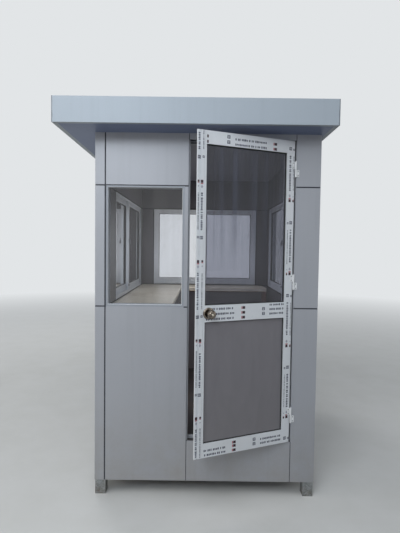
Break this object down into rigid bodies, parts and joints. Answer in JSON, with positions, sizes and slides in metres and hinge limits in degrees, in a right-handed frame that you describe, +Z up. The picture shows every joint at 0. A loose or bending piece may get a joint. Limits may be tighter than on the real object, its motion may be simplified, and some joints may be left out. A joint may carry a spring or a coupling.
{
  "type": "security guard booth",
  "caption": "Cabin of silver composite sheet on short steel feet, with a wide overhanging flat roof, windows all round, an L-shaped counter and a half-glazed door standing open.",
  "frame": {"origin": "on the ground at the centre of the wall footprint", "axes": "+Z up, -Y out of the door side, +X to the right as seen from the front"},
  "size_m": [1.759, 2.3734, 2.609],
  "materials": {
    "galvanised_steel": "satin",
    "cladding_silver": "satin",
    "lining_grey": "satin",
    "joint_sealant": "matte",
    "catch_black": "satin",
    "floor_dark": "matte",
    "door_frame_aluminium": "satin",
    "window_aluminium": "satin",
    "clear_glass": "clear",
    "counter_laminate": "matte",
    "counter_timber": "painted",
    "fascia_silver": "satin",
    "soffit_grey": "satin",
    "roof_sheet": "galvanised",
    "door_white": "film covered",
    "door_panel_grey": "satin",
    "hinge_white": "satin",
    "knob_steel": "polished"
  },
  "bodies": {
    "booth": {"corner_posts": "galvanised_steel", "base_rails": "galvanised_steel", "floor_joists": "galvanised_steel", "door_studs": "galvanised_steel", "wall_rails": "galvanised_steel", "roof_beams": "galvanised_steel", "corner_covers": "cladding_silver", "front_wall_panels": "cladding_silver", "threshold_panel": "cladding_silver", "left_wall_panels": "cladding_silver", "right_wall_panels": "cladding_silver", "back_wall_panels": "cladding_silver", "panel_sealant": "joint_sealant", "front_lining": "lining_grey", "left_lining": "lining_grey", "right_lining": "lining_grey", "back_lining": "lining_grey", "ceiling": "lining_grey", "floor_deck": "floor_dark", "door_jambs": "door_frame_aluminium", "door_head": "door_frame_aluminium", "door_sill": "door_frame_aluminium", "front_window_frame": "window_aluminium", "left_window_frame": "window_aluminium", "left_window_sashes": "window_aluminium", "right_window_frame": "window_aluminium", "right_window_sashes": "window_aluminium", "back_window_frame": "window_aluminium", "back_window_sashes": "window_aluminium", "window_catches": "catch_black", "window_glass": "clear_glass", "counter_left": "counter_laminate", "counter_back": "counter_laminate", "counter_cleats": "counter_timber", "counter_leg": "counter_timber", "fascia": "fascia_silver", "soffit": "soffit_grey", "roof_deck": "roof_sheet", "hinge_frame_leaves": "hinge_white"},
    "door": {"door_lock_stile": "door_white", "door_hinge_stile": "door_white", "door_rails": "door_white", "door_glass": "clear_glass", "door_lower_panel": "door_panel_grey", "hinge_door_leaves": "hinge_white", "knob_roses": "knob_steel"},
    "knobs": {"door_knobs": "knob_steel"}
  },
  "joints": [
    {"name": "door_swing", "type": "hinge", "parent": "booth", "child": "door", "pos_m": [0.581, -0.927, 1.4], "axis": [0, 0, 1], "range_deg": [-23, 137]},
    {"name": "knob_turn", "type": "hinge", "parent": "door", "child": "knobs", "pos_m": [0.01123, -1.16125, 1.291], "axis": [0.3907, -0.9205, 0], "range_deg": [-50, 50], "stiffness_Nm_per_rad": 0.6}
  ]
}
